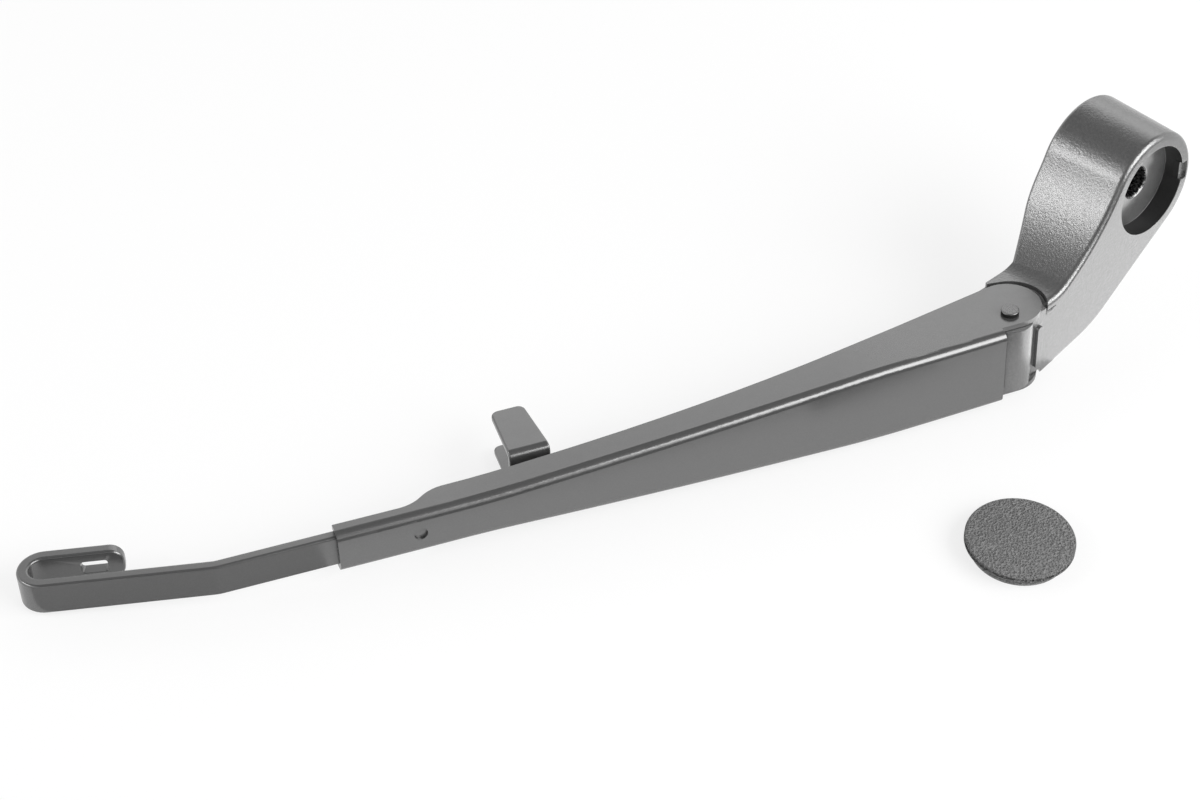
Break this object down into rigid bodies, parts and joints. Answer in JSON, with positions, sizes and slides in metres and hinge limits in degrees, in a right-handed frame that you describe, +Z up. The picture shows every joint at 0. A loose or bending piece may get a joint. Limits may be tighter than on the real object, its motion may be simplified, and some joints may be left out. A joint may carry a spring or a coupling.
{
  "type": "rear wiper arm",
  "caption": "Sprung wiper arm: die cast head on a pivot, pressed channel, flat bar with a U hook for the blade, guide bracket and loose cover cap.",
  "frame": {"origin": "on the floor below the middle of the object's box", "axes": "+Z up from the floor that the arm lies on, +X along the arm from the hook to the head, +Y towards the glass side"},
  "size_m": [0.3256, 0.1166, 0.0562],
  "materials": {
    "black_casting": "black satin paint on fine cast grain",
    "black_sheet": "smooth black satin paint",
    "pin_steel": "dark turned steel",
    "bush_bronze": "plain turned",
    "spring_steel": "bright zinc plated",
    "cap_plastic": "fine leather grain"
  },
  "bodies": {
    "head": {"mounting_head": "black_casting", "bush_upper": "bush_bronze", "bush_lower": "bush_bronze", "anchor_pin": "pin_steel", "cover_cap": "cap_plastic"},
    "arm": {"arm_channel": "black_sheet", "hook_bar": "black_sheet", "bar_rivet": "black_sheet", "bracket_post": "black_sheet", "guide_bracket": "black_sheet", "pivot_pin": "pin_steel"},
    "link": {"spring_link": "spring_steel", "tension_spring": "spring_steel"}
  },
  "joints": [
    {"name": "arm_hinge", "type": "hinge", "parent": "head", "child": "arm", "pos_m": [0.09885, 0.01157, 0.01347], "axis": [-0.0287, 0.0872, 0.9958], "range_deg": [0, 95], "stiffness_Nm_per_rad": 0.3, "springref_deg": -68.75, "deforming": ["tension_spring"]},
    {"name": "link_hinge", "type": "hinge", "parent": "head", "child": "link", "pos_m": [0.09836, 0.0224, 0.0125], "axis": [-0.0287, 0.0872, 0.9958], "range_deg": [0, 89.9]}
  ],
  "couplings": [
    {"joint": "link_hinge", "follows": "arm_hinge", "ratio": 0.9399}
  ]
}
